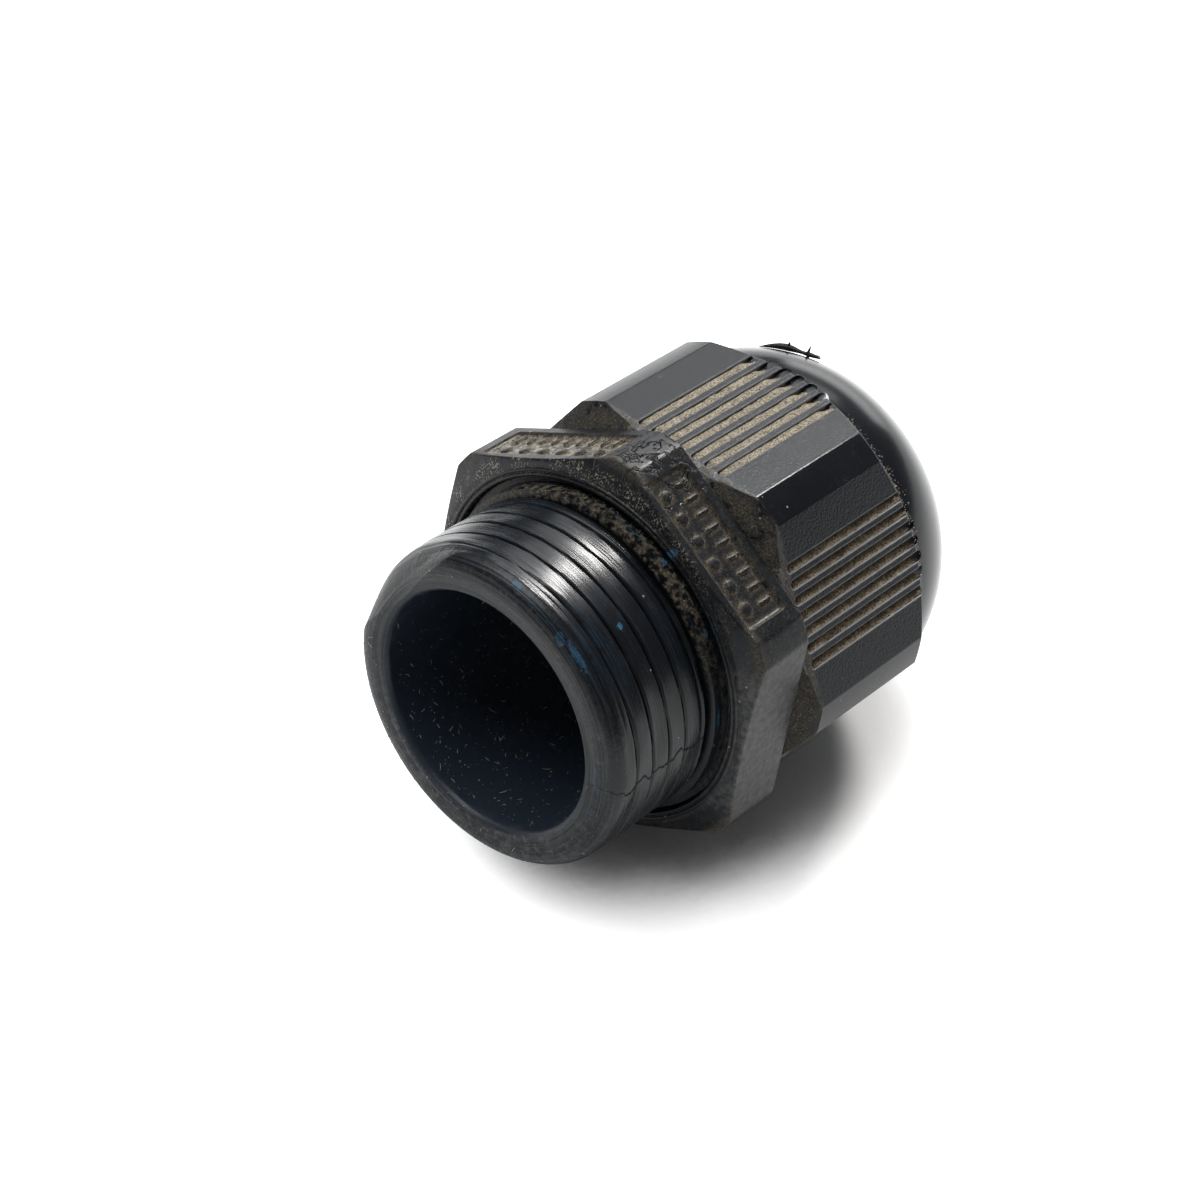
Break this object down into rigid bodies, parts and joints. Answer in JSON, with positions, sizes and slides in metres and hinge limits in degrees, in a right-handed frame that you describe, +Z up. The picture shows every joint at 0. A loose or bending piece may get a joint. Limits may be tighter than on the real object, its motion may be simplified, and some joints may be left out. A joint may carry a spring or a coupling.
{
  "type": "cable gland",
  "caption": "Cable gland: threaded entry with a spanner hex, split clamping crown, rubber sealing ring and a domed compression nut that screws down over them.",
  "frame": {"origin": "on the gland's axis, at the centre of the face that seats on the panel", "axes": "+X runs with the gland's axis from the mouth of the entry thread to the dome, but level with the ground: the axis itself dips 6.5 degrees towards the dome, as the gland lies. +Z is up."},
  "size_m": [0.0349, 0.0266, 0.027],
  "materials": {
    "gland_body": "moulded nylon, scuffed and dusty",
    "sealing_insert": "moulded rubber, dull",
    "dome_nut": "moulded nylon, fine spark texture on the flats, satin dome"
  },
  "bodies": {
    "body": {"gland_body": "gland_body"},
    "insert": {"sealing_insert": "sealing_insert"},
    "nut": {"dome_nut": "dome_nut"}
  },
  "joints": [
    {"name": "nut_turn", "type": "hinge", "parent": "body", "child": "insert", "pos_m": [0, 0, 0], "axis": [0.9936, 0, -0.1131], "range_deg": [0, 1440]},
    {"name": "nut_travel", "type": "slide", "parent": "insert", "child": "nut", "axis": [0.9936, 0, -0.1131], "range_m": [0, 0.006]}
  ],
  "couplings": [
    {"joint": "nut_travel", "follows": "nut_turn", "m_per_rad": 0.00023873}
  ]
}
